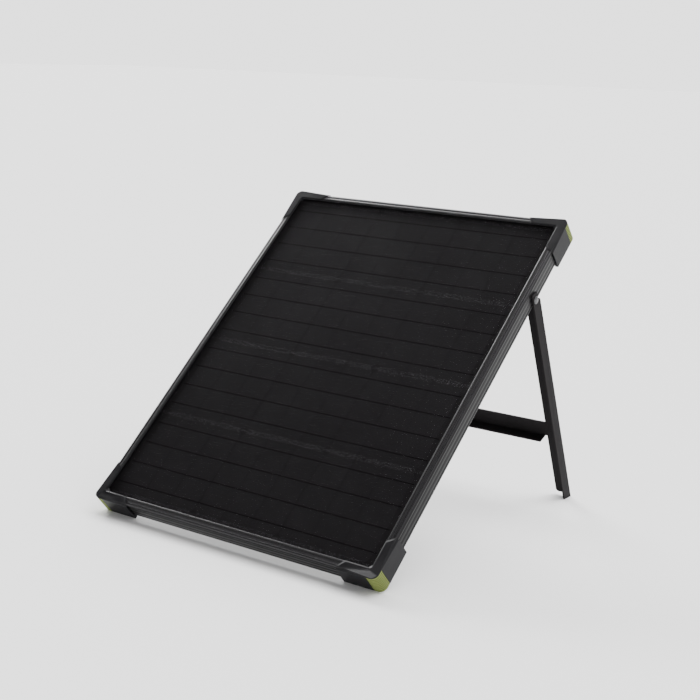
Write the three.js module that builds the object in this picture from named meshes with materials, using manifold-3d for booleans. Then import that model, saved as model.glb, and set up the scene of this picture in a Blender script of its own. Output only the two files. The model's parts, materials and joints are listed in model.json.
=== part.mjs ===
// Portable solar panel standing on its folding kickstand, in millimetres, +Z up, on the floor plane.
// A ribbed aluminium frame holds the glass laminate. A hard guard with a soft rubber insert wraps each
// frame corner, a junction box sits on the backsheet, and an angle-section kickstand turns on two bolts.
// +X runs across the panel to its right edge, and the panel leans back towards +Y.
import * as THREE from 'three';
import { mergeVertices } from 'three/addons/utils/BufferGeometryUtils.js';
import Module from 'manifold-3d';

const wasm = await Module();
wasm.setup();

// ---- Driving dimensions ----

const clearance = 0.3; // between two pieces that touch on the real panel

// Visible glass between the frame lips, and the laminate's layers
const glassWidth = 508;
const glassLength = 648;
const lipOverlap = 6.5; // laminate hidden under the lip
const glassThickness = 3.2;
const cellLayerThickness = 0.6;
const backsheetThickness = 0.5;
const sealThickness = 0.8;

// Frame rail section: distances outward from the visible glass edge, depths behind the lip's top
const railWidth = 14;
const railDepth = 28.5;
const railWall = 1.5;
const ledgeThickness = 1.2; // inner edge of the ledge under the laminate
const tubeWidth = 12;
const chamberInset = 1.8; // outer face to the tube's chamber, behind the ribs
const flangeWidth = 22; // rear return flange, from the outer face
const flangeThickness = 1.7;
const lipThickness = 1.6;
const lipCrown = 0.9; // the lip's middle above its edges
const lipCrestWidth = 7.7;
const lipGrooveWidth = 0.8;
const ridgeEnd = 12.6;
const shoulderDrop = 1.3;
const firstRibDepth = 6.3;
const ribPitch = 8;
const ribHeight = 0.7;
const rearEdgeInset = 1.1;

// Corner keys inside the rails' chambers
const keyArm = 38; // from the glass corner along each rail

// Corner guards and their rubber inserts
const guardProud = 2; // beyond the frame's outer face
const guardCrown = 1.5; // above the lip
const guardCover = 1.2; // thickness of the plate over the lip
const guardRearThickness = 6.5; // behind the frame's rear face
const guardRadius = 11; // vertical corner
const guardArm = 53; // outer edge of each arm, from the glass corner
const guardInnerArm = 44.5; // inner edge of each arm
const guardEndShelf = 11.5; // where the arm's slanted end meets its outer bevel
const guardBevel = 4.5; // outer top bevel at the arm's end
const guardBevelAtCorner = 1;
const guardEdgeDrop = 1; // height of the bevels round the inner edges and the arms' ends
const guardInnerBevel = 2.2; // width along the inner edges
const guardEndBevel = 3.5; // width at the arms' ends
const gussetLeg = 7; // the inner corner's gusset, along each side of the glass
const gussetWidth = 5.5; // from the glass to the guard's crown
const insertReach = 17; // from the guard's outer face along each side
const insertTop = 0.5; // below the lip's top
const insertFlangeWidth = 8;
const insertFlangeThickness = 2;

// Guard screws, one in each arm, from behind
const screwReach = 30; // from the glass corner
const screwHeadRadius = 3.8;
const screwHeadHeight = 2.4;
const screwShankRadius = 1.8;
const screwLength = 14;
const screwRecess = 0.4;

// Kickstand
const pivotDown = 135; // from the upper glass edge, along the slope
const pivotDepth = 21;
const openAngle = 72.2; // degrees between the folded and the open kickstand
const legLength = 392.5; // pivot to floor
const legSheet = 2.4;
const legGap = 0.5; // frame's outer face to the leg
const legSideWidth = 21.6;
const legBackWidth = 25.4;
const legTabWidth = 15.2; // square tab above the back flange
const legOverrun = 11.5; // tab's end beyond the pivot
const legCornerRadius = 1.5;
const backFlangeLift = 1; // from the leg's length up to the back flange's lower end
const backFlangeRadius = 5;
const barStart = 248; // pivot to the crossbar's upper edge
const barWidth = 28.5;
const barLipDepth = 19.7;
const barLipInset = 29.8; // leg's outer face to the end of the crossbar's lip
const barNotchRadius = 2.4;

// Pivot hardware
const boltRadius = 3;
const boltHeadRadius = 6.2;
const boltHeadHeight = 2.4;
const nutFlats = 10;
const nutHeight = 5;
const washerRadius = 5.5;
const washerThickness = 1;
const boltTip = 1.4; // bolt beyond the nut

// Junction box
const boxWidth = 72;
const boxLength = 54;
const boxHeight = 15;
const boxWall = 2;
const boxRadius = 5;
const boxDown = 56; // centre, from the upper glass edge
const boxLidThickness = 2.5;
const boxGasketThickness = 0.8;
const boxBossRadius = 3.6;
const boxBossInset = 6;
const boxScrewRadius = 1.4;
const boxScrewHeadRadius = 2.6;
const boxScrewHeadHeight = 1.5;
const boxScrewLength = 11;
const glandBore = 3; // radius, for a 5 mm cable
const glandThreadRadius = 4.8;
const glandFlangeRadius = 7;
const glandFlangeLength = 4;
const glandThreadLength = 8;
const glandNutLength = 11;
const glandInside = 2; // thread inside the box
const glandNutTaper = 4;
const glandNutRim = 2; // nut's end face, beyond the bore

// Terminal block and bypass diode, on the box's floor
const terminalWidth = 26;
const terminalLength = 12;
const terminalHeight = 9;
const terminalStep = 4;
const terminalUp = 6; // upper end, from the box's centre
const diodeRadius = 2.7;
const diodeLength = 9.4;
const diodeLeadRadius = 0.6;
const diodeReach = 10; // leads, from the diode's middle
const diodeUp = 14; // from the box's centre

// ---- Values that follow from the driving dimensions ----

const degrees = Math.PI / 180;
const halfGlass = glassWidth / 2;
const frameHalf = halfGlass + railWidth;
const glassTop = -lipThickness - clearance;
const cellTop = glassTop - glassThickness - clearance;
const backsheetTop = cellTop - cellLayerThickness - clearance;
const backsheetRear = backsheetTop - backsheetThickness;
const sealTop = backsheetRear - clearance;
const ledgeTop = sealTop - sealThickness - clearance;
const channelBack = lipOverlap + sealThickness + 2 * clearance;
const tubeInner = railWidth - tubeWidth;
const flangeInner = railWidth - flangeWidth;
const chamber = {
  inner: tubeInner + railWall,
  outer: railWidth - chamberInset,
  top: ledgeTop - railWall,
  rear: -railDepth + railWall,
};
const guardFace = railWidth + guardProud;
const guardInside = railWidth + clearance;
const guardPlateTop = -railDepth - clearance;
const guardRear = -railDepth - guardRearThickness;
const insertEnd = guardFace - insertReach;
const screwLine = (chamber.inner + chamber.outer) / 2;
const pivotUp = glassLength - pivotDown;
const boxUp = glassLength - boxDown;

// Leg section, measured from the pivot. Folded, the back flange is level with the guards' rear faces
const backOutside = -guardRear - pivotDepth;
const backInside = backOutside - legSheet;
const legFront = legSideWidth - backOutside;
const open = openAngle * degrees;
// Open, the back flange's upper end stands on the frame's rear face: this is the kickstand's stop
const stopReach = (railDepth + clearance - pivotDepth - backInside * Math.cos(open)) / Math.sin(open);
const legFace = frameHalf + legGap + legSheet;
const legInside = frameHalf + legGap;
const backEdge = legFace - legBackWidth;

// The panel's tilt puts the guards' lower rear edge and the feet on one floor
const contact = new THREE.Vector2(-guardFace, guardRear);
const foot = new THREE.Vector2(
  pivotUp - legLength * Math.cos(open),
  -pivotDepth - legLength * Math.sin(open),
);
const tilt = Math.atan2(contact.y - foot.y, foot.x - contact.x);

// ---- Materials ----

const finish = (color, roughness, metalness = 0) =>
  new THREE.MeshStandardMaterial({ color, roughness, metalness });
const finishes = {
  anodised: () => finish(0x1c1b1d, 0.42, 0.7),
  guard: () => finish(0x35343a, 0.55),
  lime: () => finish(0xa3ac6b, 0.7),
  glass: () => {
    const material = finish(0x232224, 0.3);
    material.transparent = true;
    material.opacity = 0.35;
    return material;
  },
  cells: () => finish(0x19181c, 0.45),
  backsheet: () => finish(0x19191a, 0.6),
  seal: () => finish(0x151515, 0.8),
  key: () => finish(0x3c3c3e, 0.6),
  kickstand: () => finish(0x201f21, 0.5, 0.4),
  zinc: () => finish(0x8c8d90, 0.35, 0.9),
  blackSteel: () => finish(0x29282a, 0.4, 0.7),
  box: () => finish(0x1a1a1b, 0.55),
  terminal: () => finish(0xc9c6bb, 0.6),
};

// ---- Geometry helpers ----

/** A closed manifold solid from a three.js geometry. */
function toSolid(geometry) {
  const bare = new THREE.BufferGeometry();
  bare.setAttribute('position', geometry.getAttribute('position').clone());
  bare.setIndex(geometry.getIndex());
  const merged = mergeVertices(bare);
  return new wasm.Manifold(new wasm.Mesh({
    numProp: 3,
    vertProperties: new Float32Array(merged.getAttribute('position').array),
    triVerts: new Uint32Array(merged.getIndex().array),
  }));
}

/** A three.js geometry from a manifold solid. */
function toGeometry(solid) {
  const mesh = solid.getMesh();
  const geometry = new THREE.BufferGeometry();
  geometry.setAttribute('position', new THREE.BufferAttribute(mesh.vertProperties, 3));
  geometry.setIndex(new THREE.BufferAttribute(mesh.triVerts, 1));
  geometry.computeVertexNormals();
  return geometry;
}

/** Extrudes a shape along Z between two heights. */
function prism(shape, low, high, curveSegments = 8) {
  const geometry = new THREE.ExtrudeGeometry(shape, {
    depth: high - low,
    bevelEnabled: false,
    curveSegments,
  });
  return geometry.translate(0, 0, low);
}

/** Extrudes a shape drawn in (y, z) along X between two places. */
function prismAlongX(shape, low, high, curveSegments = 8) {
  const turn = new THREE.Matrix4().makeBasis(
    new THREE.Vector3(0, 1, 0),
    new THREE.Vector3(0, 0, 1),
    new THREE.Vector3(1, 0, 0),
  );
  return prism(shape, low, high, curveSegments).applyMatrix4(turn);
}

function slab([x0, x1], [y0, y1], [z0, z1]) {
  const geometry = new THREE.BoxGeometry(x1 - x0, y1 - y0, z1 - z0);
  return geometry.translate((x0 + x1) / 2, (y0 + y1) / 2, (z0 + z1) / 2);
}

function rodAlongZ(radius, [x, y], [z0, z1], segments = 24) {
  const geometry = new THREE.CylinderGeometry(radius, radius, z1 - z0, segments);
  return geometry.rotateX(Math.PI / 2).translate(x, y, (z0 + z1) / 2);
}

function rodAlongX(radius, [x0, x1], [y, z], segments = 24) {
  const geometry = new THREE.CylinderGeometry(radius, radius, x1 - x0, segments);
  return geometry.rotateZ(Math.PI / 2).translate((x0 + x1) / 2, y, z);
}

/** A rectangle with rounded corners. */
function roundedRectangle(x0, x1, y0, y1, radius) {
  const shape = new THREE.Shape();
  shape.moveTo(x0 + radius, y0);
  shape.lineTo(x1 - radius, y0);
  shape.absarc(x1 - radius, y0 + radius, radius, -Math.PI / 2, 0);
  shape.absarc(x1 - radius, y1 - radius, radius, 0, Math.PI / 2);
  shape.absarc(x0 + radius, y1 - radius, radius, Math.PI / 2, Math.PI);
  shape.absarc(x0 + radius, y0 + radius, radius, Math.PI, 1.5 * Math.PI);
  return shape;
}

/** A closed ring turned about Y, from its outline as [radius, height] points, counter-clockwise. */
function turned(outline, segments = 24) {
  const points = outline.map(([radius, height]) => new THREE.Vector2(radius, height));
  if (outline[0][0] > 0) points.push(points[0].clone());
  return new THREE.LatheGeometry(points, segments);
}

/** A block larger than anything here, under a plane through a point, tilted about X. */
function halfSpaceBelow([y, z], angle) {
  const size = 4 * (glassLength + glassWidth);
  const geometry = new THREE.BoxGeometry(size, size, size).translate(0, 0, -size / 2);
  return geometry.rotateX(angle).translate(0, y, z);
}

function piece(name, geometry, material) {
  const mesh = new THREE.Mesh(geometry, material);
  mesh.name = name;
  return mesh;
}

// ---- Frame rails ----

/** The rail's section: x outward from the visible glass edge, y along the panel's normal. */
function railSection() {
  const groove = railWidth - ribHeight;
  const crest = railWidth + ribHeight; // control point that puts the rib's top at the outer face
  const lipGroove = lipCrestWidth + lipGrooveWidth;
  const shape = new THREE.Shape();
  shape.moveTo(0, -lipThickness);
  shape.lineTo(0, -lipCrown);
  shape.quadraticCurveTo(lipCrestWidth / 2, lipCrown, lipCrestWidth, -lipCrown);
  shape.quadraticCurveTo(lipCrestWidth + lipGrooveWidth / 2, -2 * lipCrown, lipGroove, -lipCrown / 2);
  shape.quadraticCurveTo((lipGroove + ridgeEnd) / 2, 0, ridgeEnd, -shoulderDrop);
  shape.quadraticCurveTo(2 * railWidth - (ridgeEnd + groove) / 2, -2 * shoulderDrop, groove, -firstRibDepth);
  const ribs = Math.floor((railDepth - firstRibDepth) / ribPitch);
  for (let i = 0; i < ribs; i += 1) {
    const start = -firstRibDepth - i * ribPitch;
    shape.quadraticCurveTo(crest, start - ribPitch / 2, groove, start - ribPitch);
  }
  shape.quadraticCurveTo(crest, -railDepth + 2 * rearEdgeInset, railWidth - rearEdgeInset, -railDepth);
  shape.lineTo(flangeInner, -railDepth);
  shape.lineTo(flangeInner, -railDepth + flangeThickness);
  shape.lineTo(tubeInner, -railDepth + flangeThickness);
  shape.lineTo(tubeInner, ledgeTop - ledgeThickness);
  shape.lineTo(0, ledgeTop - ledgeThickness);
  shape.lineTo(0, ledgeTop);
  shape.lineTo(channelBack, ledgeTop);
  shape.lineTo(channelBack, -lipThickness);
  shape.closePath();
  const hole = new THREE.Path();
  hole.moveTo(chamber.inner, chamber.rear);
  hole.lineTo(chamber.outer, chamber.rear);
  hole.lineTo(chamber.outer, chamber.top);
  hole.lineTo(chamber.inner, chamber.top);
  hole.closePath();
  shape.holes.push(hole);
  return shape;
}

/** The strip of sealing tape behind and beside the laminate's edge. */
function sealSection() {
  const outside = channelBack - clearance;
  const shape = new THREE.Shape();
  shape.moveTo(2 * clearance, sealTop - sealThickness);
  shape.lineTo(outside, sealTop - sealThickness);
  shape.lineTo(outside, glassTop);
  shape.lineTo(outside - sealThickness, glassTop);
  shape.lineTo(outside - sealThickness, sealTop);
  shape.lineTo(2 * clearance, sealTop);
  shape.closePath();
  return shape;
}

const sides = {
  bottom: { outward: [0, -1], middle: [0, 0], half: halfGlass },
  right: { outward: [1, 0], middle: [halfGlass, glassLength / 2], half: glassLength / 2 },
  top: { outward: [0, 1], middle: [0, glassLength], half: halfGlass },
  left: { outward: [-1, 0], middle: [-halfGlass, glassLength / 2], half: glassLength / 2 },
};

/** Runs a section along one side of the glass, with both ends mitred and set back by half a gap. */
function mitredStrip(section, { outward, middle, half }, curveSegments) {
  const geometry = prism(section, 0, 1, curveSegments);
  const position = geometry.getAttribute('position');
  const setBack = clearance / Math.SQRT2;
  for (let i = 0; i < position.count; i += 1) {
    const end = half + position.getX(i) - setBack;
    position.setZ(i, position.getZ(i) > 0.5 ? end : -end);
  }
  const out = new THREE.Vector3(outward[0], outward[1], 0);
  const up = new THREE.Vector3(0, 0, 1);
  const along = new THREE.Vector3().crossVectors(out, up);
  geometry.applyMatrix4(new THREE.Matrix4().makeBasis(out, up, along));
  return geometry.translate(middle[0], middle[1], 0);
}

const corners = {
  top_right: { turn: 0, at: [halfGlass, glassLength] },
  top_left: { turn: Math.PI / 2, at: [-halfGlass, glassLength] },
  bottom_left: { turn: Math.PI, at: [-halfGlass, 0] },
  bottom_right: { turn: 1.5 * Math.PI, at: [halfGlass, 0] },
};

/** Puts a geometry made for the +x, +y glass corner at another corner. */
function atCorner(geometry, { turn, at }) {
  return geometry.rotateZ(turn).translate(at[0], at[1], 0);
}

const screwPlaces = [[screwLine, -screwReach], [-screwReach, screwLine]];

/** Clearance holes for a corner's two guard screws. */
function screwHoles(corner) {
  const depth = [guardRear - 1, guardRear + screwRecess + screwLength + 2 * clearance];
  return screwPlaces.map((place) =>
    toSolid(atCorner(rodAlongZ(screwShankRadius + clearance, place, depth), corner)));
}

function makeRails() {
  const frameRadius = guardRadius - guardProud;
  const outline = roundedRectangle(-frameHalf, frameHalf, -railWidth, glassLength + railWidth, frameRadius);
  const envelope = toSolid(prism(outline, -2 * railDepth, railDepth));
  const pivotHole = toSolid(rodAlongX(boltRadius + clearance, [-legFace, legFace], [pivotUp, -pivotDepth]));
  const holes = Object.values(corners).flatMap(screwHoles);
  const section = railSection();
  return Object.entries(sides).map(([side, place]) => {
    let rail = toSolid(mitredStrip(section, place, 5)).intersect(envelope).subtract(pivotHole);
    for (const hole of holes) rail = rail.subtract(hole);
    return piece(`frame_rail_${side}`, toGeometry(rail), finishes.anodised());
  });
}

function makeSeals() {
  return Object.entries(sides).map(([side, place]) =>
    piece(`edge_seal_${side}`, mitredStrip(sealSection(), place, 1), finishes.seal()));
}

// ---- Laminate ----

function makeLaminate() {
  const across = [-halfGlass - lipOverlap, halfGlass + lipOverlap];
  const along = [-lipOverlap, glassLength + lipOverlap];
  return [
    piece('front_glass', slab(across, along, [glassTop - glassThickness, glassTop]), finishes.glass()),
    piece('cell_layer', slab(across, along, [cellTop - cellLayerThickness, cellTop]), finishes.cells()),
    piece('backsheet', slab(across, along, [backsheetRear, backsheetTop]), finishes.backsheet()),
  ];
}

// ---- Corner keys ----

/** An L-shaped key that joins two rails, inside their chambers. */
function makeKey(name, corner) {
  const inner = chamber.inner + clearance;
  const outer = chamber.outer - clearance;
  const radius = guardRadius - guardProud - chamberInset;
  const shape = new THREE.Shape();
  shape.moveTo(inner, -keyArm);
  shape.lineTo(outer, -keyArm);
  shape.lineTo(outer, outer - radius);
  shape.absarc(outer - radius, outer - radius, radius, 0, Math.PI / 2);
  shape.lineTo(-keyArm, outer);
  shape.lineTo(-keyArm, inner);
  shape.lineTo(inner, inner);
  shape.closePath();
  const heights = [chamber.rear + clearance, chamber.top - clearance];
  let key = toSolid(atCorner(prism(shape, ...heights, 6), corner));
  for (const hole of screwHoles(corner)) key = key.subtract(hole);
  return piece(`corner_key_${name}`, toGeometry(key), finishes.key());
}

// ---- Corner guards ----

/** An L-shaped plate outline with slanted arm ends and a rounded outer corner. */
function guardOutline(inner, chamfer) {
  const slope = (guardArm - guardInnerArm) / guardEndShelf; // arm's length lost per step inward
  const innerArm = guardArm - slope * (guardEndShelf - inner);
  const shape = new THREE.Shape();
  shape.moveTo(guardFace, -guardArm);
  shape.lineTo(guardFace, guardFace - guardRadius);
  shape.absarc(guardFace - guardRadius, guardFace - guardRadius, guardRadius, 0, Math.PI / 2);
  shape.lineTo(-guardArm, guardFace);
  shape.lineTo(-guardArm, guardEndShelf);
  shape.lineTo(-innerArm, inner);
  shape.lineTo(inner - chamfer, inner);
  shape.lineTo(inner, inner - chamfer);
  shape.lineTo(inner, -innerArm);
  shape.lineTo(guardEndShelf, -guardArm);
  shape.closePath();
  return shape;
}

/** A rounded band outline around the corner, from one outward distance to another. */
function cornerBand(inside, outside, end) {
  const centre = guardFace - guardRadius;
  const shape = new THREE.Shape();
  shape.moveTo(inside, end);
  shape.lineTo(outside, end);
  shape.lineTo(outside, centre);
  shape.absarc(centre, centre, outside - centre, 0, Math.PI / 2);
  shape.lineTo(end, outside);
  shape.lineTo(end, inside);
  shape.lineTo(centre, inside);
  shape.absarc(centre, centre, inside - centre, Math.PI / 2, 0, true);
  shape.closePath();
  return shape;
}

/** The corner's rounded square, for the space that the frame fills inside a guard. */
function cornerBlock(outside, reach) {
  const centre = guardFace - guardRadius;
  const shape = new THREE.Shape();
  shape.moveTo(-reach, -reach);
  shape.lineTo(outside, -reach);
  shape.lineTo(outside, centre);
  shape.absarc(centre, centre, outside - centre, 0, Math.PI / 2);
  shape.lineTo(-reach, outside);
  shape.closePath();
  return shape;
}

/** The foot of an insert: an L that goes under the guard's rear plate. */
function insertFootOutline(grow) {
  const inner = guardInside - insertFlangeWidth - grow;
  const end = insertEnd - grow;
  const outside = guardInside + grow;
  const centre = guardFace - guardRadius;
  const shape = new THREE.Shape();
  shape.moveTo(inner, end);
  shape.lineTo(outside, end);
  shape.lineTo(outside, centre);
  shape.absarc(centre, centre, outside - centre, 0, Math.PI / 2);
  shape.lineTo(end, outside);
  shape.lineTo(end, inner);
  shape.lineTo(inner, inner);
  shape.closePath();
  return shape;
}

/** A block larger than a guard, above a plane. */
function spaceAbove(point, normal) {
  const size = 6 * guardArm;
  const block = new THREE.BoxGeometry(size, size, size).translate(0, 0, size / 2);
  const direction = new THREE.Vector3(...normal).normalize();
  block.applyQuaternion(new THREE.Quaternion().setFromUnitVectors(new THREE.Vector3(0, 0, 1), direction));
  return toSolid(block.translate(...point));
}

/** The arm along -x, with its inner edge and its end bevelled. */
function guardArmSolid() {
  const centre = guardFace - guardRadius;
  const shape = new THREE.Shape();
  shape.moveTo(guardFace, 0);
  shape.lineTo(guardFace, centre);
  shape.absarc(centre, centre, guardRadius, 0, Math.PI / 2);
  shape.lineTo(-guardArm, guardFace);
  shape.lineTo(-guardArm, guardEndShelf);
  shape.lineTo(-guardInnerArm, 0);
  shape.closePath();
  const edge = guardCrown - guardEdgeDrop;
  const slant = new THREE.Vector2(-guardEndShelf, guardInnerArm - guardArm).setLength(guardEdgeDrop);
  return toSolid(prism(shape, guardRear, guardCrown))
    .subtract(spaceAbove([0, 0, edge], [0, -guardEdgeDrop, guardInnerBevel]))
    .subtract(spaceAbove([-guardArm, guardFace, edge], [-guardEdgeDrop, 0, guardEndBevel]))
    .subtract(spaceAbove([-guardInnerArm, 0, edge], [slant.x, slant.y, guardEndBevel]));
}

/** Everything above the gusset, which slopes from the glass up to the guard's crown. */
function aboveGusset() {
  const rise = (guardCrown - glassTop - clearance) * Math.SQRT1_2;
  return spaceAbove([-gussetLeg, 0, glassTop + clearance], [-rise, -rise, gussetWidth]);
}

function guardSolid() {
  const frameSpace = toSolid(prism(cornerBlock(guardInside, 2 * guardArm), guardPlateTop,
    guardCrown - guardCover));
  const arm = guardArmSolid();
  const rearPlate = toSolid(prism(guardOutline(flangeInner, gussetLeg), guardRear, guardPlateTop));
  const gusset = toSolid(prism(guardOutline(0, gussetLeg), guardCrown - guardCover, guardCrown));
  const slope = (guardBevel - guardBevelAtCorner) / guardArm; // outer bevel: wide at the arm's end
  const bevel = spaceAbove([guardFace, 0, guardCrown - guardBevelAtCorner], [1, -slope, 1]);
  let guard = arm.add(arm.mirror([1, -1, 0])).subtract(frameSpace).add(rearPlate);
  guard = guard.add(gusset.subtract(aboveGusset())).subtract(bevel).subtract(bevel.mirror([1, -1, 0]));
  const windowHeights = [guardRear - 1, -insertTop + clearance];
  guard = guard.subtract(toSolid(prism(
    cornerBand(guardInside - clearance, guardFace + guardProud, insertEnd - clearance), ...windowHeights)));
  const pocketHeights = [guardRear - 1, guardRear + insertFlangeThickness + clearance];
  guard = guard.subtract(toSolid(prism(insertFootOutline(clearance), ...pocketHeights)));
  const headDepth = [guardRear - 1, guardRear + screwRecess + screwHeadHeight + clearance];
  for (const place of screwPlaces) {
    guard = guard.subtract(toSolid(rodAlongZ(screwHeadRadius + clearance, place, headDepth)));
  }
  return guard;
}

/** The gusset's foot, down to the glass. */
function gussetFoot() {
  const shape = new THREE.Shape();
  shape.moveTo(-clearance, -clearance);
  shape.lineTo(-gussetLeg, -clearance);
  shape.lineTo(-clearance, -gussetLeg);
  shape.closePath();
  return toSolid(prism(shape, glassTop + clearance, guardCrown)).subtract(aboveGusset());
}

function makeGuard(name, corner) {
  let guard = toSolid(atCorner(toGeometry(guardSolid().add(gussetFoot())), corner));
  for (const hole of screwHoles(corner)) guard = guard.subtract(hole);
  return piece(`corner_guard_${name}`, toGeometry(guard), finishes.guard());
}

function makeInsert(name, corner) {
  const shell = toSolid(prism(cornerBand(guardInside, guardFace, insertEnd), guardRear, -insertTop));
  const footHeights = [guardRear, guardRear + insertFlangeThickness];
  const footPlate = toSolid(prism(insertFootOutline(0), ...footHeights));
  const joined = shell.add(footPlate);
  return piece(`corner_insert_${name}`, atCorner(toGeometry(joined), corner), finishes.lime());
}

function makeGuardScrews(name, corner) {
  const head = guardRear + screwRecess;
  return screwPlaces.map(([x, y], i) => {
    const screw = turned([
      [0, 0],
      [screwHeadRadius * 0.85, 0],
      [screwHeadRadius, screwHeadHeight * 0.4],
      [screwHeadRadius, screwHeadHeight],
      [screwShankRadius, screwHeadHeight],
      [screwShankRadius, screwLength - screwShankRadius],
      [0, screwLength],
    ], 20);
    screw.rotateX(Math.PI / 2).translate(x, y, head);
    return piece(`guard_screw_${name}_${i + 1}`, atCorner(screw, corner), finishes.blackSteel());
  });
}

// ---- Junction box ----

const boxTop = backsheetRear - clearance;
const boxOpen = boxTop - boxHeight;
const boxGasketTop = boxOpen - clearance;
const boxLidTop = boxGasketTop - boxGasketThickness - clearance;
const boxLidRear = boxLidTop - boxLidThickness;
const boxHalf = [boxWidth / 2, boxLength / 2];
const boxBosses = [[1, 1], [-1, 1], [-1, -1], [1, -1]].map(([i, j]) =>
  [i * (boxHalf[0] - boxBossInset), boxUp + j * (boxHalf[1] - boxBossInset)]);

/** The box's outline, drawn in by a distance. */
function boxOutline(inset) {
  const [x, y] = [boxHalf[0] - inset, boxHalf[1] - inset];
  return roundedRectangle(-x, x, boxUp - y, boxUp + y, boxRadius - inset);
}

function boxScrewHoles(low, high, radius) {
  return boxBosses.map((place) => toSolid(rodAlongZ(radius, place, [low, high], 12)));
}

function makeBoxBase() {
  let base = toSolid(prism(boxOutline(0), boxOpen, boxTop, 4));
  base = base.subtract(toSolid(prism(boxOutline(boxWall), boxOpen - 1, boxTop - boxWall, 4)));
  for (const place of boxBosses) {
    base = base.add(toSolid(rodAlongZ(boxBossRadius, place, [boxOpen, boxTop - boxWall / 2], 16)));
  }
  for (const hole of boxScrewHoles(boxOpen - 1, boxTop - boxWall, boxScrewRadius + clearance)) {
    base = base.subtract(hole);
  }
  const glandHole = new THREE.CylinderGeometry(glandThreadRadius + clearance, glandThreadRadius + clearance,
    4 * boxWall, 24);
  glandHole.translate(0, boxUp - boxHalf[1], (boxOpen + boxTop) / 2);
  return piece('junction_box_base', toGeometry(base.subtract(toSolid(glandHole))), finishes.box());
}

function makeBoxGasket() {
  const shape = boxOutline(clearance);
  shape.holes.push(boxOutline(boxWall - clearance));
  const gasket = prism(shape, boxGasketTop - boxGasketThickness, boxGasketTop, 4);
  return piece('junction_box_gasket', gasket, finishes.seal());
}

function makeBoxLid() {
  let lid = toSolid(prism(boxOutline(0), boxLidRear, boxLidTop, 4));
  const heads = boxLidRear + boxScrewHeadHeight;
  for (const hole of boxScrewHoles(boxLidRear - 1, boxLidTop + 1, boxScrewRadius + clearance)) {
    lid = lid.subtract(hole);
  }
  for (const hole of boxScrewHoles(boxLidRear - 1, heads, boxScrewHeadRadius + clearance)) {
    lid = lid.subtract(hole);
  }
  return piece('junction_box_lid', toGeometry(lid), finishes.box());
}

function makeBoxScrews() {
  return boxBosses.map(([x, y], i) => {
    const screw = turned([
      [0, 0],
      [boxScrewHeadRadius, 0],
      [boxScrewHeadRadius, boxScrewHeadHeight - clearance],
      [boxScrewRadius, boxScrewHeadHeight - clearance],
      [boxScrewRadius, boxScrewLength - boxScrewRadius],
      [0, boxScrewLength],
    ], 16);
    screw.rotateX(Math.PI / 2).translate(x, y, boxLidRear);
    return piece(`junction_box_screw_${i + 1}`, screw, finishes.zinc());
  });
}

/** The cable gland in the box's lower wall: its axis points down the slope, -y. */
function makeGland() {
  const thread = glandThreadRadius;
  const flange = clearance + glandFlangeLength;
  const threadEnd = flange + glandThreadLength;
  const body = turned([
    [glandBore, -boxWall - glandInside],
    [thread, -boxWall - glandInside],
    [thread, clearance],
    [glandFlangeRadius, clearance],
    [glandFlangeRadius, flange],
    [thread, flange],
    [thread, threadEnd],
    [glandBore, threadEnd],
  ]);
  const nutStart = flange + clearance;
  const nutEnd = nutStart + glandNutLength;
  const nut = turned([
    [thread + clearance, nutStart],
    [glandFlangeRadius - clearance, nutStart],
    [glandFlangeRadius - clearance, nutEnd - glandNutTaper],
    [glandBore + glandNutRim, nutEnd],
    [glandBore + clearance, nutEnd],
    [glandBore + clearance, threadEnd + clearance],
    [thread + clearance, threadEnd + clearance],
  ]);
  for (const part of [body, nut]) {
    part.rotateX(Math.PI).translate(0, boxUp - boxHalf[1], (boxOpen + boxTop) / 2);
  }
  return [piece('cable_gland_body', body, finishes.box()), piece('cable_gland_nut', nut, finishes.box())];
}

/** Terminal block and bypass diode on the box's floor. */
function makeBoxInside() {
  const floor = boxTop - boxWall - clearance;
  const block = new THREE.Shape();
  const step = -terminalHeight + terminalStep;
  block.moveTo(-terminalWidth / 2, 0);
  block.lineTo(-terminalWidth / 2, step);
  block.lineTo(-terminalWidth / 4, step);
  block.lineTo(-terminalWidth / 4, -terminalHeight);
  block.lineTo(terminalWidth / 4, -terminalHeight);
  block.lineTo(terminalWidth / 4, step);
  block.lineTo(terminalWidth / 2, step);
  block.lineTo(terminalWidth / 2, 0);
  block.closePath();
  const terminal = prism(block, 0, terminalLength).rotateX(Math.PI / 2);
  terminal.translate(0, boxUp + terminalUp, floor);
  const diode = turned([
    [0, -diodeReach],
    [diodeLeadRadius, -diodeReach],
    [diodeLeadRadius, -diodeLength / 2],
    [diodeRadius, -diodeLength / 2],
    [diodeRadius, diodeLength / 2],
    [diodeLeadRadius, diodeLength / 2],
    [diodeLeadRadius, diodeReach],
    [0, diodeReach],
  ], 16);
  diode.rotateZ(Math.PI / 2).translate(0, boxUp + diodeUp, floor - diodeRadius);
  return [
    piece('terminal_block', terminal, finishes.terminal()),
    piece('bypass_diode', diode, finishes.seal()),
  ];
}

// ---- Pivot hardware ----

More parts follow.
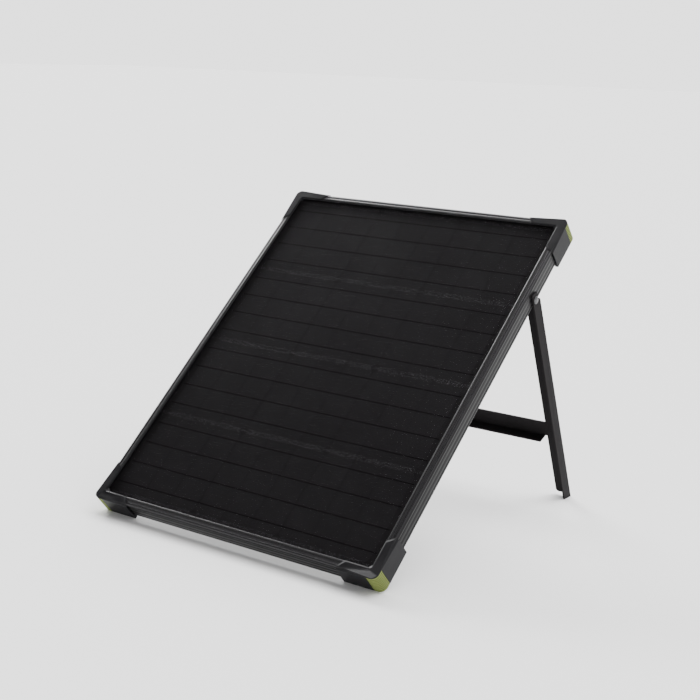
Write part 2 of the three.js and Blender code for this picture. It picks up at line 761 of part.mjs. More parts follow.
/** Bolt, washer and lock nut through one side rail; hand is +1 on the right, -1 on the left. */
function makePivot(side, hand) {
  const washerOuter = halfGlass + tubeInner - clearance;
  const nutOuter = washerOuter - washerThickness - clearance;
  const tip = nutOuter - nutHeight - boltTip;
  const head = legFace + clearance;
  const bolt = turned([
    [0, tip],
    [boltRadius - 0.6, tip],
    [boltRadius, tip + 0.6],
    [boltRadius, head],
    [boltHeadRadius, head],
    [boltHeadRadius, head + boltHeadHeight * 0.35],
    [boltHeadRadius * 0.72, head + boltHeadHeight * 0.85],
    [0, head + boltHeadHeight],
  ]);
  const ring = (outline, outer, thickness) => {
    const hole = new THREE.Path();
    hole.absarc(0, 0, boltRadius + clearance, 0, 2 * Math.PI);
    outline.holes.push(hole);
    return prism(outline, outer - thickness, outer, 12);
  };
  const round = new THREE.Shape();
  round.absarc(0, 0, washerRadius, 0, 2 * Math.PI);
  const washer = ring(round, washerOuter, washerThickness);
  const hexRadius = nutFlats / Math.sqrt(3);
  const hex = new THREE.Shape([0, 1, 2, 3, 4, 5].map((corner) =>
    new THREE.Vector2(0, hexRadius).rotateAround(new THREE.Vector2(), (-corner / 3) * Math.PI)));
  const nut = ring(hex, nutOuter, nutHeight);
  bolt.rotateZ(-Math.PI / 2);
  for (const part of [washer, nut]) part.rotateY(Math.PI / 2);
  for (const part of [bolt, washer, nut]) {
    if (hand < 0) part.rotateZ(Math.PI);
    part.translate(0, pivotUp, -pivotDepth);
  }
  return [
    piece(`pivot_bolt_${side}`, bolt, finishes.blackSteel()),
    piece(`pivot_washer_${side}`, washer, finishes.zinc()),
    piece(`pivot_nut_${side}`, nut, finishes.zinc()),
  ];
}

// ---- Kickstand, modelled folded, about its pivot line: -y towards the foot, -z to the rear ----

/** Removes what would be below the floor once the kickstand is open. */
function trimFoot(solid) {
  return solid.subtract(toSolid(halfSpaceBelow([-legLength, 0], -(tilt + open))));
}

function makeLeg(side, hand) {
  const longEnd = -legLength - 2 * legSideWidth;
  const round = legCornerRadius;
  const sideShape = roundedRectangle(longEnd, -stopReach, -backOutside, legFront, round);
  const tabShape = roundedRectangle(-stopReach - legSideWidth, legOverrun, legFront - legTabWidth, legFront,
    round);
  const sideFlange = toSolid(prismAlongX(sideShape, legInside, legFace, 4));
  const tab = toSolid(prismAlongX(tabShape, legInside, legFace, 4));
  const backShape = new THREE.Shape();
  backShape.moveTo(backEdge, -stopReach);
  backShape.lineTo(backEdge, -legLength + backFlangeLift + backFlangeRadius);
  backShape.absarc(backEdge + backFlangeRadius, -legLength + backFlangeLift + backFlangeRadius,
    backFlangeRadius, Math.PI, 1.5 * Math.PI);
  backShape.lineTo(legFace - legSheet / 2, -legLength + backFlangeLift);
  backShape.lineTo(legFace - legSheet / 2, -stopReach);
  backShape.closePath();
  const backFlange = toSolid(prism(backShape, -backOutside, -backInside, 6));
  const hole = toSolid(rodAlongX(boltRadius + clearance, [legInside - 1, legFace + 1], [0, 0]));
  const leg = trimFoot(sideFlange.add(tab).add(backFlange).subtract(hole));
  const geometry = toGeometry(hand > 0 ? leg : leg.mirror([1, 0, 0]));
  return piece(`kickstand_leg_${side}`, geometry, finishes.kickstand());
}

function makeCrossbar() {
  const half = backEdge - clearance;
  const lipHalf = legFace - barLipInset;
  const lower = -barStart - barWidth;
  const webBack = [-backOutside, -backInside];
  let bar = toSolid(slab([-half, half], [lower, -barStart], webBack));
  const lip = slab([-lipHalf, lipHalf], [lower, lower + legSheet], [-backOutside, barLipDepth - backOutside]);
  bar = bar.add(toSolid(lip));
  for (const hand of [1, -1]) {
    const place = [hand * (lipHalf + barNotchRadius), lower];
    bar = bar.subtract(toSolid(rodAlongZ(barNotchRadius, place, [-backOutside - 1, -backInside + 1], 16)));
  }
  return piece('kickstand_crossbar', toGeometry(bar), finishes.kickstand());
}

// ---- Assembly ----

const kickstand = new THREE.Group();
kickstand.add(makeLeg('left', -1), makeLeg('right', 1), makeCrossbar());
kickstand.position.set(0, pivotUp, -pivotDepth);
kickstand.rotation.x = open;

const panel = new THREE.Group();
panel.add(...makeRails(), ...makeSeals(), ...makeLaminate());
for (const [name, corner] of Object.entries(corners)) {
  panel.add(makeKey(name, corner), makeGuard(name, corner), makeInsert(name, corner));
  panel.add(...makeGuardScrews(name, corner));
}
panel.add(makeBoxBase(), makeBoxGasket(), makeBoxLid(), ...makeBoxScrews(), ...makeBoxInside());
panel.add(...makeGland(), ...makePivot('left', -1), ...makePivot('right', 1), kickstand);
panel.rotation.x = tilt;

// The origin is on the floor, at the middle of the footprint
const assembly = new THREE.Group();
assembly.add(panel);
assembly.updateMatrixWorld(true);
const bounds = new THREE.Box3().setFromObject(assembly, true);
const middle = bounds.getCenter(new THREE.Vector3());
panel.position.set(-middle.x, -middle.y, -bounds.min.z);

export default assembly;
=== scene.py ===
import json
import math

import bmesh
import bpy
from mathutils import Matrix, Vector


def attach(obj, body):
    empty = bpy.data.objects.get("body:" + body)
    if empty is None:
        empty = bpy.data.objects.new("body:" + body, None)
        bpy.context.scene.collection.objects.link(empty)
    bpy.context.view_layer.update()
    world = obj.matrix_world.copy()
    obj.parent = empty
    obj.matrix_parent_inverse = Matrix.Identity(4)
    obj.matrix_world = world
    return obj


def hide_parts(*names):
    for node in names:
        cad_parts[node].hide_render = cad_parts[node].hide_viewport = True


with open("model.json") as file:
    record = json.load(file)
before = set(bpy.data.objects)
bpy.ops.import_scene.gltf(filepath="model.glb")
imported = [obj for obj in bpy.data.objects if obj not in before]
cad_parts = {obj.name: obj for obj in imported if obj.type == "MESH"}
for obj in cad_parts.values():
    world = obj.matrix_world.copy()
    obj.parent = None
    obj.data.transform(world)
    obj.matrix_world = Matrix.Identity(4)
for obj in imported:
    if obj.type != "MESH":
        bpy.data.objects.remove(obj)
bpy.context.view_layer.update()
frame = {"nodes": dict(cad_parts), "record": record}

nodes = frame["nodes"]
scene = bpy.context.scene
mounts = {mount["name"]: mount for mount in frame["record"]["mounts"]}

# ---- Sizes, in metres ----

GLASS_WIDTH, GLASS_LENGTH = 0.508, 0.648  # visible between the frame's lips
LIP_CROWN = 0.0009  # rise of the rails' rounded lip
GUARD_FACE = 0.016  # glass edge to the guards' outer faces
GUARD_REAR = 0.035  # lip's top to the guards' rear faces

CELL = 0.15675  # side of one pseudo-square cell before it is cut in three
CELL_COLUMNS, CELL_ROWS, CUTS = 3, 4, 3
CUT_GAP, STRING_GAP, ROW_GAP = 0.0012, 0.0024, 0.0031
CELL_CHAMFER = 0.0075
CELL_SHEET = 0.00014  # a cell's thickness
CELL_LIFT = 0.00002  # keeps the cells off the layer under them
CELL_PITCH = CELL + ROW_GAP  # from row to row
ROWS_START = (GLASS_LENGTH - CELL_ROWS * CELL_PITCH + ROW_GAP) / 2
FINGER_PITCH, FINGER_SHARE = 0.0016, 0.09  # collector lines, and the share of their pitch that is line

# How far pale flecks spread from the middle of a row gap, as shares of the cells' pitch.
GAP_REACH = 0.014  # on the sheet behind the cells
SOLDER_REACH = 0.028  # on the cells
FLECK_SCALE = 620.0  # the flecks' noise
FLECK_SHADE = (0.075, 0.072, 0.078, 1.0)

RIBBONS_PER_CELL = 4
RIBBON_WIDTH, RIBBON_SHEET = 0.0018, 0.00008
RIBBON_OVERRUN = 0.006  # ribbon past the outermost cells

INSERT_FACE = 0.016  # glass edge to the rubber's outer face
INSERT_CENTRE = 0.005  # glass edge to the centre of the rubber's rounded corner
RIB_COUNT, RIB_DEPTH = 9, 0.0012  # ribs down each rubber insert
GROOVE_SHARE = 0.25  # half a groove's width, as a share of the ribs' pitch
SKIN = 0.0004  # how far inside the rubber's outer face a point still belongs to it
SAME = 1e-5  # two heights closer than this are one

# The camera's place and turn, in panel axes.
LENS = 70.73
CAMERA_PLACE = (1.243942, -0.647306, 1.489731)
CAMERA_RIGHT = Vector((0.812234, 0.459029, -0.359955))
CAMERA_UP = Vector((-0.150648, 0.7612, 0.630777))

# Each soft light: its name, where it shines from, its strength, and its width in degrees.
SOFT_LIGHTS = (
    ("overhead", (0.15, 0.45, 0.88), 4.3, 60),
    ("left_softbox", (-0.76, 0.42, 0.49), 2.8, 26),
    ("back_softbox", (-0.5, 0.66, 0.56), 2.2, 50),
    ("right_softbox", (0.68, 0.0, 0.73), 0.6, 30),
)
FLOOR_SIZE, FLOOR_SHADE = 30.0, 0.93
WALL, WALL_TOP = 2.4, (0.12, 0.5)  # the walls' light, and how high up it starts and ends fading
CEILING, CEILING_SPAN = (0.14, 0.45), (0.1, 0.9)  # the ceiling's light, and how far along it brightens
CEILING_BRIGHT = (0.45, 0.75, 0.48)  # the way it brightens, towards the back right

# ---- The panel's place ----

guard_rear_facing = Vector(mounts["rear_pad_top_right"]["axis"])
TILT = math.atan2(guard_rear_facing.y, -guard_rear_facing.z)  # the panel's turn up from lying flat


def level_box(node):
    """Lowest and highest corner of a CAD node, with the panel's tilt undone."""
    undo = Matrix.Rotation(-TILT, 3, "X")
    places = [undo @ vertex.co for vertex in nodes[node].data.vertices]
    low = Vector([min(place[i] for place in places) for i in range(3)])
    high = Vector([max(place[i] for place in places) for i in range(3)])
    return low, high


lower_guard, _ = level_box("corner_guard_bottom_left")
PANEL_ORIGIN = Vector((0, lower_guard.y + GUARD_FACE, lower_guard.z + GUARD_REAR))
PANEL = Matrix.Rotation(TILT, 4, "X") @ Matrix.Translation(PANEL_ORIGIN)


def panel_top(node):
    """A CAD node's highest point in panel axes."""
    _, high = level_box(node)
    return (high - PANEL_ORIGIN).z


INSERT_TOP = panel_top("corner_insert_top_right")
RIB_PITCH = (GUARD_REAR + INSERT_TOP) / RIB_COUNT

# ---- Materials ----

class Value:
    """One output of a node. Arithmetic on it adds the Math nodes."""

    def __init__(self, finish, output):
        self.finish = finish
        self.output = output

    def math(self, operation, first, second=0.0):
        return self.finish.node("ShaderNodeMath", {"operation": operation}, {0: first, 1: second})

    def __add__(self, other):
        return self.math("ADD", self, other)

    __radd__ = __add__

    def __mul__(self, other):
        return self.math("MULTIPLY", self, other)

    __rmul__ = __mul__

    def __sub__(self, other):
        return self.math("SUBTRACT", self, other)

    def __rsub__(self, other):
        return self.math("SUBTRACT", other, self)

    def __pow__(self, other):
        return self.math("POWER", self, other)

    def __gt__(self, other):
        return self.math("GREATER_THAN", self, other)

    def __lt__(self, other):
        return self.math("LESS_THAN", self, other)

    def sine(self):
        return self.math("SINE", self)

    def absolute(self):
        return self.math("ABSOLUTE", self)

    def fraction(self):
        return self.math("FRACT", self)


class Finish:
    """A node-based material around one Principled shader."""

    def __init__(self, name, **sockets):
        self.material = bpy.data.materials.new(name)
        self.material.use_nodes = True
        self.tree = self.material.node_tree
        self.shader = self.tree.nodes["Principled BSDF"]
        self.set(**sockets)

    def node(self, kind, settings=None, inputs=None, output=0):
        made = self.tree.nodes.new(kind)
        for name, value in (settings or {}).items():
            setattr(made, name, value)
        for name, value in (inputs or {}).items():
            self.feed(made.inputs[name], value)
        return Value(self, made.outputs[output])

    def feed(self, socket, value):
        if isinstance(value, Value):
            self.tree.links.new(value.output, socket)
        else:
            socket.default_value = value

    def set(self, **sockets):
        for name, value in sockets.items():
            self.feed(self.shader.inputs[name.replace("_", " ")], value)

    def place(self):
        """Object coordinates turned into panel axes."""
        whole = self.node("ShaderNodeTexCoord", output="Object")
        return self.node(
            "ShaderNodeMapping",
            {"vector_type": "POINT"},
            {"Vector": whole, "Rotation": (-TILT, 0, 0), "Location": -PANEL_ORIGIN},
        )

    def along(self, where, axis):
        """One coordinate of a place: 0 across the panel, 1 up it and 2 out of it."""
        return self.node("ShaderNodeSeparateXYZ", None, {0: where}, output=axis)

    def stretched(self, where, scale):
        return self.node("ShaderNodeVectorMath", {"operation": "MULTIPLY"}, {0: where, 1: scale})

    def noise(self, where, scale, detail, roughness=0.5):
        return self.node(
            "ShaderNodeTexNoise",
            None,
            {"Vector": where, "Scale": scale, "Detail": detail, "Roughness": roughness},
        )

    def mix(self, factor, first, second):
        """A colour between two, by a factor."""
        return self.node(
            "ShaderNodeMix",
            {"data_type": "RGBA"},
            {"Factor": factor, 6: first, 7: second},
            output=2,
        )

    def between(self, value, low, high, to_low, to_high):
        """A value remapped from one range to another, and kept inside it."""
        return self.node(
            "ShaderNodeMapRange",
            None,
            {"Value": value, "From Min": low, "From Max": high, "To Min": to_low, "To Max": to_high},
        )

    def bump(self, height, distance, strength):
        normal = self.node(
            "ShaderNodeBump", None, {"Height": height, "Distance": distance, "Strength": strength},
        )
        self.set(Normal=normal)


def shade(red, green, blue):
    return (red, green, blue, 1.0)


def anodised(name, grain):
    """Black anodised aluminium with a faint drawn grain along each rail, and a highlight painted over the
    rails' lips: paler, more metallic and glossier there than on the sides.
    """
    made = Finish(name, Specular_IOR_Level=0.13)
    where = made.place()
    height = made.along(where, 2)
    # Painted highlight: the rails' lips are coloured paler and made more metallic and glossier than the
    # sides.
    lip_highlight = made.between(height, -2 * LIP_CROWN, -LIP_CROWN, 0, 1)
    lines = made.noise(made.stretched(where, grain), 1.0, 3.0, 0.6)
    cloud = made.noise(where, 14.0, 2.0)
    side = made.mix(cloud, shade(0.0065, 0.0062, 0.0066), shade(0.011, 0.0105, 0.0112))
    made.set(
        Base_Color=made.mix(lip_highlight, side, shade(0.050, 0.0485, 0.051)),
        Metallic=lip_highlight * 0.7 + 0.04,
        Roughness=made.between(lines, 0.3, 0.7, 0.26, 0.36) - lip_highlight * 0.03,
    )
    made.bump(lines, 0.00004, 0.5)
    return made.material


def moulded(name, dark, light, roughness):
    """Moulded plastic: a fine spark-eroded grain, with faint flow clouds and rubbed patches."""
    made = Finish(name, Specular_IOR_Level=0.1)
    where = made.place()
    fine = made.noise(where, 1900.0, 1.0)
    cloud = made.noise(where, 22.0, 3.0)
    made.set(
        Base_Color=made.mix(made.between(cloud, 0.3, 0.7, 0, 1), dark, light),
        Roughness=made.between(cloud, 0.3, 0.7, roughness - 0.05, roughness + 0.06),
    )
    made.bump(fine, 0.00006, 0.6)
    return made.material


def lime_rubber():
    """Soft lime-green rubber, darker and dustier in places, with painted shade darkening the grooves
    between its ribs, and a fine matte skin.
    """
    made = Finish("lime_rubber", Specular_IOR_Level=0.2)
    where = made.place()
    cloud = made.noise(where, 60.0, 3.0)
    fine = made.noise(where, 2400.0, 1.0)
    specks = made.noise(where, 700.0, 2.0) > 0.68
    clean = made.mix(cloud, shade(0.162, 0.200, 0.048), shade(0.208, 0.245, 0.074))
    height = made.along(where, 2)
    ribs = ((height - INSERT_TOP) * (1 / RIB_PITCH) + 0.5).fraction() - 0.5
    # Painted shade: the grooves between the ribs are coloured dark green; random specks add a little dark
    # dust.
    groove = made.between(ribs.absolute(), 0.16, 0.28, 0.85, 0)
    made.set(
        Base_Color=made.mix(groove + specks * 0.15, clean, shade(0.035, 0.05, 0.009)),
        Roughness=made.between(cloud, 0.3, 0.7, 0.55, 0.72),
    )
    made.bump(fine, 0.00008, 0.5)
    return made.material


def solar_glass():
    """Low-iron cover glass with a fine anti-glare texture, clear enough to show the cells."""
    made = Finish("solar_glass", Specular_IOR_Level=0.08)
    where = made.place()
    stipple = made.noise(where, 900.0, 1.0)
    haze = made.noise(where, 5.0, 2.0)
    made.set(
        Base_Color=made.mix(haze, shade(0.0066, 0.0056, 0.0065), shade(0.0093, 0.0080, 0.0092)),
        Alpha=made.between(haze, 0.3, 0.7, 0.18, 0.24),
        Roughness=made.between(stipple, 0.3, 0.7, 0.20, 0.28),
    )
    made.bump(stipple, 0.00004, 0.25)
    return made.material


def near_row_gap(finish, where, reach):
    """1 close to a gap between two rows of cells, and 0 elsewhere."""
    up = finish.along(where, 1)
    rows = ((up - ROWS_START + ROW_GAP / 2) * (1 / CELL_PITCH) + 0.5).fraction() - 0.5
    return rows.absolute() < reach


def cell_silicon():
    """Near-black textured silicon: hair-thin collector lines up the slope, and flecks near row gaps."""
    made = Finish("cell_silicon", Specular_IOR_Level=0.1)
    where = made.place()
    fingers = (made.along(where, 0) * (1 / FINGER_PITCH)).fraction() < FINGER_SHARE
    grains = made.noise(where, 380.0, 3.0, 0.65)
    cloud = made.noise(where, 7.0, 2.0)
    base = made.mix(cloud, shade(0.0085, 0.0080, 0.0088), shade(0.0115, 0.0108, 0.0118))
    speckled = made.mix(made.between(grains, 0.5, 0.75, 0.0, 0.6), base, shade(0.030, 0.028, 0.032))
    solder = made.between(made.noise(where, FLECK_SCALE, 1.0), 0.56, 0.62, 0, 0.7)
    flecks = solder * near_row_gap(made, where, SOLDER_REACH)
    fingered = made.mix(fingers * 0.5, speckled, shade(0.030, 0.029, 0.033))
    made.set(
        Base_Color=made.mix(flecks, fingered, FLECK_SHADE),
        Roughness=made.between(grains, 0.3, 0.7, 0.34, 0.50),
    )
    made.bump(grains, 0.00005, 0.4)
    return made.material


def ribbon_black():
    """Black-coated connecting ribbon."""
    made = Finish("ribbon_black", Specular_IOR_Level=0.05)
    where = made.place()
    wear = made.noise(made.stretched(where, (300.0, 2500.0, 1.0)), 1.0, 2.0)
    made.set(
        Base_Color=made.mix(wear, shade(0.0012, 0.0012, 0.0013), shade(0.0022, 0.0022, 0.0024)),
        Roughness=made.between(wear, 0.3, 0.7, 0.5, 0.65),
    )
    made.bump(wear, 0.00003, 0.4)
    return made.material


def cell_bed():
    """The black sheet behind the cells, with pale flecks in the gaps between their rows."""
    made = Finish("cell_bed", Specular_IOR_Level=0.1)
    where = made.place()
    gap = near_row_gap(made, where, GAP_REACH)
    flecks = made.between(made.noise(where, FLECK_SCALE, 1.0), 0.54, 0.62, 0, 0.7)
    cloud = made.noise(where, 30.0, 2.0)
    base = made.mix(cloud, shade(0.0068, 0.0064, 0.007), shade(0.0095, 0.009, 0.0098))
    made.set(
        Base_Color=made.mix(flecks * gap, base, FLECK_SHADE),
        Roughness=made.between(cloud, 0.3, 0.7, 0.4, 0.55),
    )
    made.bump(flecks, 0.00004, 0.4)
    return made.material


def backsheet_film():
    """Black film laminated behind the cells: the strings and ribbons under it show as a faint relief."""
    made = Finish("backsheet_film", Specular_IOR_Level=0.35)
    where = made.place()
    across = made.along(where, 0)
    up = made.along(where, 1)
    strings = (across * (math.pi / (CELL / CUTS + CUT_GAP))).sine().absolute() ** 0.1
    ribbons = ((up - ROWS_START) * (math.pi * RIBBONS_PER_CELL / CELL_PITCH)).sine().absolute() ** 60.0
    fine = made.noise(where, 260.0, 2.0)
    cloud = made.noise(where, 9.0, 3.0)
    made.set(
        Base_Color=made.mix(cloud, shade(0.011, 0.011, 0.012), shade(0.022, 0.022, 0.024)),
        Roughness=made.between(cloud, 0.3, 0.7, 0.38, 0.52),
    )
    made.bump(strings * 0.3 + ribbons * 0.5 + fine * 0.12, 0.0003, 0.35)
    return made.material


def powder_coat():
    """Satin black powder coat: a very fine orange peel with a few dull rubs."""
    made = Finish("powder_coat", Specular_IOR_Level=0.02)
    where = made.place()
    peel = made.noise(where, 620.0, 1.5)
    cloud = made.noise(where, 18.0, 4.0, 0.6)
    made.set(
        Base_Color=made.mix(cloud, shade(0.0125, 0.0114, 0.0120), shade(0.0180, 0.0165, 0.0174)),
        Roughness=made.between(cloud, 0.3, 0.7, 0.38, 0.5),
    )
    made.bump(peel, 0.00012, 0.5)
    return made.material


def plated(name, dark, light):
    """Plated steel with fine turning marks and small dull spots."""
    made = Finish(name, Metallic=1.0)
    where = made.place()
    spots = made.noise(where, 900.0, 3.0, 0.6)
    cloud = made.noise(where, 120.0, 2.0)
    made.set(
        Base_Color=made.mix(cloud, dark, light),
        Roughness=made.between(spots, 0.3, 0.75, 0.24, 0.44),
    )
    made.bump(spots, 0.00003, 0.5)
    return made.material


def seal_rubber():
    """Matte black sealing rubber."""
    made = Finish("seal_rubber", Specular_IOR_Level=0.3)
    where = made.place()
    fine = made.noise(where, 1500.0, 2.0)
    cloud = made.noise(where, 40.0, 2.0)
    made.set(
        Base_Color=made.mix(cloud, shade(0.009, 0.009, 0.009), shade(0.018, 0.018, 0.018)),
        Roughness=made.between(fine, 0.3, 0.7, 0.7, 0.85),
    )
    made.bump(fine, 0.00006, 0.5)
    return made.material


def floor_paint():
    """Plain painted studio floor, very slightly clouded."""
    made = Finish("studio_floor", Roughness=0.9, Specular_IOR_Level=0.1)
    where = made.node("ShaderNodeTexCoord", output="Object")
    cloud = made.noise(where, 0.6, 2.0)
    dim = FLOOR_SHADE - 0.01
    made.set(Base_Color=made.mix(cloud, shade(FLOOR_SHADE, FLOOR_SHADE, FLOOR_SHADE), shade(dim, dim, dim)))
    return made.material


finishes = {
    "rail_across": anodised("anodised_across", (3.0, 1400.0, 1400.0)),
    "rail_along": anodised("anodised_along", (1400.0, 3.0, 1400.0)),
    "guard": moulded("guard_plastic", shade(0.0085, 0.0082, 0.0092), shade(0.0135, 0.013, 0.0145), 0.4),
    "key": moulded("key_plastic", shade(0.04, 0.04, 0.04), shade(0.07, 0.07, 0.07), 0.55),
    "box": moulded("box_plastic", shade(0.014, 0.014, 0.015), shade(0.024, 0.024, 0.026), 0.52),
    "terminal": moulded("terminal_plastic", shade(0.48, 0.46, 0.40), shade(0.60, 0.58, 0.52), 0.5),
    "diode": moulded("diode_body", shade(0.012, 0.012, 0.012), shade(0.022, 0.022, 0.022), 0.4),
    "lime": lime_rubber(),
    "glass": solar_glass(),
    "cell": cell_silicon(),
    "ribbon": ribbon_black(),
    "bed": cell_bed(),
    "backsheet": backsheet_film(),
    "coat": powder_coat(),
    "black_steel": plated("black_steel", shade(0.07, 0.07, 0.072), shade(0.12, 0.12, 0.122)),
    "zinc": plated("zinc_steel", shade(0.45, 0.46, 0.47), shade(0.62, 0.62, 0.62)),
    "seal": seal_rubber(),
}

# ---- Making pieces ----


def add_piece(name, shape, finish, body, replaces=(), place=None, smooth=35.0):
    """Turns a bmesh into a piece of the object, riding on a body."""
    if place is not None:
        bmesh.ops.transform(shape, matrix=place, verts=shape.verts)
    mesh = bpy.data.meshes.new(name)
    shape.to_mesh(mesh)
    shape.free()
    mesh.materials.append(finishes[finish])
    mesh.shade_smooth()
    mesh.set_sharp_from_angle(angle=math.radians(smooth))
    made = bpy.data.objects.new(name, mesh)
    scene.collection.objects.link(made)
    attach(made, body)
    if replaces:
        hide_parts(*replaces)
    return made


def soften(piece, edge, segments=2, angle=35.0):
    """Rounds a piece's sharp edges."""
    bevel = piece.modifiers.new("edges", "BEVEL")
    bevel.width = edge
    bevel.segments = segments
    bevel.limit_method = "ANGLE"
    bevel.angle_limit = math.radians(angle)
    bevel.harden_normals = True


def copied(node):
    """A clean bmesh of a CAD node: joined up, with its flat faces whole."""
    shape = bmesh.new()
    shape.from_mesh(nodes[node].data)
    bmesh.ops.remove_doubles(shape, verts=shape.verts, dist=2e-6)
    bmesh.ops.dissolve_limit(
        shape, angle_limit=math.radians(0.4), verts=shape.verts, edges=shape.edges,
    )
    return shape


def refined(node, finish, body, edge, segments=2):
    """A CAD node's own shape with its edges rounded, as the made part's are."""
    made = add_piece(f"{node}_finished", copied(node), finish, body, [node])
    soften(made, edge, segments)


# ---- Camera, floor and lights ----


def make_camera():
    data = bpy.data.cameras.new("camera")
    data.lens = LENS
    data.sensor_width = 36.0
    camera = bpy.data.objects.new("camera", data)
    scene.collection.objects.link(camera)
    turn = Matrix((CAMERA_RIGHT, CAMERA_UP, CAMERA_RIGHT.cross(CAMERA_UP))).transposed().to_4x4()
    camera.matrix_world = PANEL @ Matrix.Translation(CAMERA_PLACE) @ turn
    scene.camera = camera


def make_floor():
    shape = bmesh.new()
    bmesh.ops.create_grid(shape, x_segments=1, y_segments=1, size=FLOOR_SIZE)
    mesh = bpy.data.meshes.new("floor")
    shape.to_mesh(mesh)
    shape.free()
    mesh.materials.append(floor_paint())
    floor = bpy.data.objects.new("floor", mesh)
    scene.collection.objects.link(floor)


def make_soft_light(name, direction, strength, width):
    data = bpy.data.lights.new(name, "SUN")
    data.energy = strength
    data.angle = math.radians(width)
    light = bpy.data.objects.new(name, data)
    scene.collection.objects.link(light)
    light.rotation_euler = Vector(direction).to_track_quat("Z", "Y").to_euler()


def world_fade(tree, value, span, ends):
    """A value of the world's nodes taken from one range to another."""
    fade = tree.nodes.new("ShaderNodeMapRange")
    for name, number in zip(("From Min", "From Max", "To Min", "To Max"), span + ends):
        fade.inputs[name].default_value = number
    tree.links.new(value, fade.inputs["Value"])
    return fade.outputs[0]


def make_world():
    """White studio walls all round under a dim ceiling."""
    world = bpy.data.worlds.new("studio")
    scene.world = world
    world.use_nodes = True
    tree = world.node_tree
    direction = tree.nodes.new("ShaderNodeTexCoord").outputs["Generated"]
    split = tree.nodes.new("ShaderNodeSeparateXYZ")
    tree.links.new(direction, split.inputs[0])
    side = tree.nodes.new("ShaderNodeVectorMath")
    side.operation = "DOT_PRODUCT"
    side.inputs[1].default_value = CEILING_BRIGHT
    tree.links.new(direction, side.inputs[0])
    total = tree.nodes.new("ShaderNodeMath")
    total.operation = "MAXIMUM"
    tree.links.new(world_fade(tree, split.outputs["Z"], WALL_TOP, (WALL, 0)), total.inputs[0])
    tree.links.new(world_fade(tree, side.outputs["Value"], CEILING_SPAN, CEILING), total.inputs[1])
    light = tree.nodes["Background"]
    light.inputs["Color"].default_value = (1, 1, 1, 1)
    tree.links.new(total.outputs[0], light.inputs["Strength"])


make_camera()
make_floor()
make_world()
for soft_light in SOFT_LIGHTS:
    make_soft_light(*soft_light)

# ---- Laminate ----


def cut_cell(step):
    """One strip of a pseudo-square cell. The outer strips have two of its cut-off corners each."""
    strip = bmesh.new()
    bmesh.ops.create_grid(strip, x_segments=1, y_segments=1, size=0.5)
    bmesh.ops.scale(strip, vec=(CELL / CUTS, CELL, 1), verts=strip.verts)
    outer = {0: -1, CUTS - 1: 1}.get(step, 0)
    corners = [corner for corner in strip.verts if corner.co.x * outer > 0]
    if corners:
        bmesh.ops.bevel(
            strip, geom=corners, offset=CELL_CHAMFER, offset_type="OFFSET", segments=1, profile=0.5,
            affect="VERTICES", material=-1,
        )
    bmesh.ops.solidify(strip, geom=strip.faces[:], thickness=-CELL_SHEET)
    return strip


def gather(pieces, shape, place):
    """Adds a shape to the pieces already gathered in a mesh."""
    bmesh.ops.transform(shape, matrix=place, verts=shape.verts)
    part = bpy.data.meshes.new("part")
    shape.to_mesh(part)
    shape.free()
    pieces.from_mesh(part)
    bpy.data.meshes.remove(part)


def make_cells():
    """Nine strips of cell in each row, and the ribbons that run across them."""
    bed = panel_top("cell_layer")
    strip_pitch = CELL / CUTS + CUT_GAP
    group_pitch = CUTS * strip_pitch - CUT_GAP + STRING_GAP
    half_row = (CELL_COLUMNS * group_pitch - STRING_GAP) / 2
    cells = bmesh.new()
    ribbons = bmesh.new()
    for row in range(CELL_ROWS):
        start = ROWS_START + row * CELL_PITCH
        for column in range(CELL_COLUMNS):
            for step in range(CUTS):
                x = -half_row + column * group_pitch + step * strip_pitch + CELL / CUTS / 2
                middle = (x, start + CELL / 2, bed + CELL_LIFT)
                gather(cells, cut_cell(step), Matrix.Translation(middle))
        for i in range(RIBBONS_PER_CELL):
            y = start + (i + 0.5) * CELL / RIBBONS_PER_CELL
            middle = Matrix.Translation((0, y, bed + CELL_SHEET + RIBBON_SHEET))
            size = Matrix.Diagonal((2 * (half_row + RIBBON_OVERRUN), RIBBON_WIDTH, RIBBON_SHEET, 1))
            bmesh.ops.create_cube(ribbons, size=1.0, matrix=middle @ size)
    add_piece("solar_cells", cells, "cell", "panel", place=PANEL)
    add_piece("cell_ribbons", ribbons, "ribbon", "panel", place=PANEL)


def make_laminate():
    nodes["cell_layer"].data.materials[0] = finishes["bed"]
    refined("front_glass", "glass", "panel", edge=0.0004)
    refined("backsheet", "backsheet", "panel", edge=0.0001, segments=1)
    make_cells()
    for side in ("bottom", "right", "top", "left"):
        nodes[f"edge_seal_{side}"].data.materials[0] = finishes["seal"]


# ---- Frame ----

# Each corner's quarter turns from the top right, its side of the glass and its end.
corner_turns = {
    "top_right": (0, 1, 1), "top_left": (1, -1, 1), "bottom_left": (2, -1, 0), "bottom_right": (3, 1, 0),
}


def corner_place(corner):
    """Axes at a glass corner, with x and y both pointing outward from the glass."""
    quarter, side, end = corner_turns[corner]
    at = Matrix.Translation((side * GLASS_WIDTH / 2, end * GLASS_LENGTH, 0))
    return PANEL @ at @ Matrix.Rotation(quarter * math.pi / 2, 4, "Z")


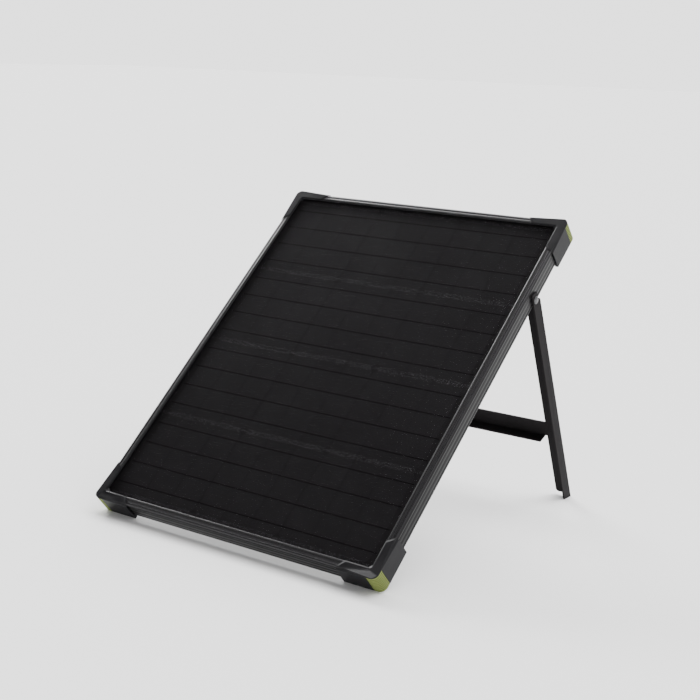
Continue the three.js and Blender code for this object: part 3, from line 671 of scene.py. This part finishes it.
def press_groove(shape, middle):
    """Presses a groove into the rubber's outer face, round the corner at one height."""
    for height in (middle - GROOVE_SHARE * RIB_PITCH, middle, middle + GROOVE_SHARE * RIB_PITCH):
        bmesh.ops.bisect_plane(
            shape, geom=shape.verts[:] + shape.edges[:] + shape.faces[:], dist=1e-6,
            plane_co=(0, 0, height), plane_no=(0, 0, 1),
        )
    for vertex in shape.verts:
        across = Vector((max(vertex.co.x - INSERT_CENTRE, 0), max(vertex.co.y - INSERT_CENTRE, 0), 0))
        outside = across.length > INSERT_FACE - INSERT_CENTRE - SKIN
        if outside and abs(vertex.co.z - middle) < SAME:
            bmesh.ops.translate(shape, vec=-RIB_DEPTH * across.normalized(), verts=[vertex])


def make_insert(corner):
    """The rubber round a corner: its own shape, with a groove between every two ribs."""
    place = corner_place(corner)
    shape = copied(f"corner_insert_{corner}")
    bmesh.ops.transform(shape, matrix=place.inverted(), verts=shape.verts)
    for i in range(1, RIB_COUNT):
        press_groove(shape, INSERT_TOP - i * RIB_PITCH)
    made = add_piece(
        f"corner_insert_{corner}_ribbed", shape, "lime", "panel",
        [f"corner_insert_{corner}"], place, smooth=25.0,
    )
    soften(made, edge=0.0002, angle=20.0)


def make_frame():
    for side in ("bottom", "right", "top", "left"):
        finish = "rail_across" if side in ("bottom", "top") else "rail_along"
        refined(f"frame_rail_{side}", finish, "panel", edge=0.00018)
    for corner in corner_turns:
        nodes[f"corner_key_{corner}"].data.materials[0] = finishes["key"]
        refined(f"corner_guard_{corner}", "guard", "panel", edge=0.0006, segments=3)
        make_insert(corner)
        for i in (1, 2):
            refined(f"guard_screw_{corner}_{i}", "black_steel", "panel", edge=0.0002)


# ---- Junction box ----


def make_box():
    refined("junction_box_base", "box", "panel", edge=0.0004)
    refined("junction_box_lid", "box", "panel", edge=0.0005)
    refined("junction_box_gasket", "seal", "panel", edge=0.0002)
    refined("cable_gland_body", "box", "panel", edge=0.0003)
    refined("cable_gland_nut", "box", "panel", edge=0.0004)
    nodes["terminal_block"].data.materials[0] = finishes["terminal"]
    nodes["bypass_diode"].data.materials[0] = finishes["diode"]
    for i in range(1, 5):
        refined(f"junction_box_screw_{i}", "zinc", "panel", edge=0.0001)


# ---- Kickstand ----


def make_stand():
    for side in ("left", "right"):
        refined(f"kickstand_leg_{side}", "coat", "kickstand", edge=0.0005, segments=3)
        refined(f"pivot_bolt_{side}", "black_steel", "panel", edge=0.0003)
        refined(f"pivot_washer_{side}", "zinc", "panel", edge=0.0001)
        refined(f"pivot_nut_{side}", "zinc", "panel", edge=0.0003)
    refined("kickstand_crossbar", "coat", "kickstand", edge=0.0005, segments=3)


make_laminate()
make_frame()
make_box()
make_stand()
